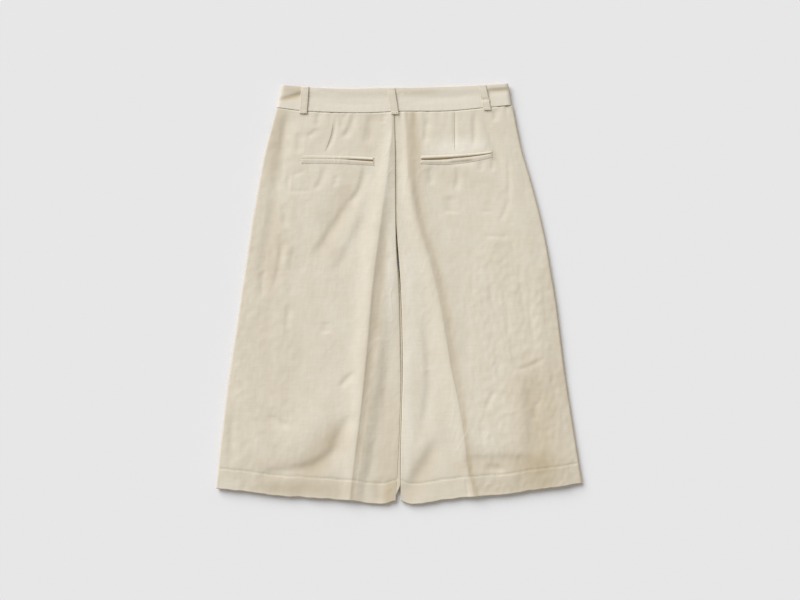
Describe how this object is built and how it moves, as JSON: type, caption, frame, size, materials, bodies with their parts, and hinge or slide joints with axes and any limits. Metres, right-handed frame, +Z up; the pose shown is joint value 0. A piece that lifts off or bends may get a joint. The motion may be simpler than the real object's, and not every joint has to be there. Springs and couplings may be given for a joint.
{
  "type": "bermuda shorts laid flat, back side up",
  "caption": "Wide-legged linen bermuda shorts lying flat with the back up: open legs and waist, pressed creases, double-welt back pockets, belt loops.",
  "frame": {"origin": "middle of the shorts' box on the surface they lie on", "axes": "+Z up, away from the surface and out of the back; +Y from hems to waist; +X to the right as they lie"},
  "size_m": [0.5744, 0.6598, 0.016],
  "materials": {
    "linen": "plain-weave linen, matt, softly creased",
    "linen_folded": "the same linen folded and pressed",
    "zip_tape": "woven tape, matt",
    "button": "horn-coloured resin, satin"
  },
  "bodies": {
    "root": {"back_left": "linen", "back_right": "linen", "front_left": "linen", "front_right": "linen", "waistband": "linen_folded", "belt_loop_back_left": "linen_folded", "belt_loop_back_centre": "linen_folded", "belt_loop_back_right": "linen_folded", "belt_loop_front_left": "linen_folded", "belt_loop_front_right": "linen_folded", "welt_left_upper": "linen_folded", "welt_left_lower": "linen_folded", "welt_right_upper": "linen_folded", "welt_right_lower": "linen_folded", "fly_zip": "zip_tape", "fly_placket": "linen_folded", "waist_button": "button"}
  },
  "joints": []
}
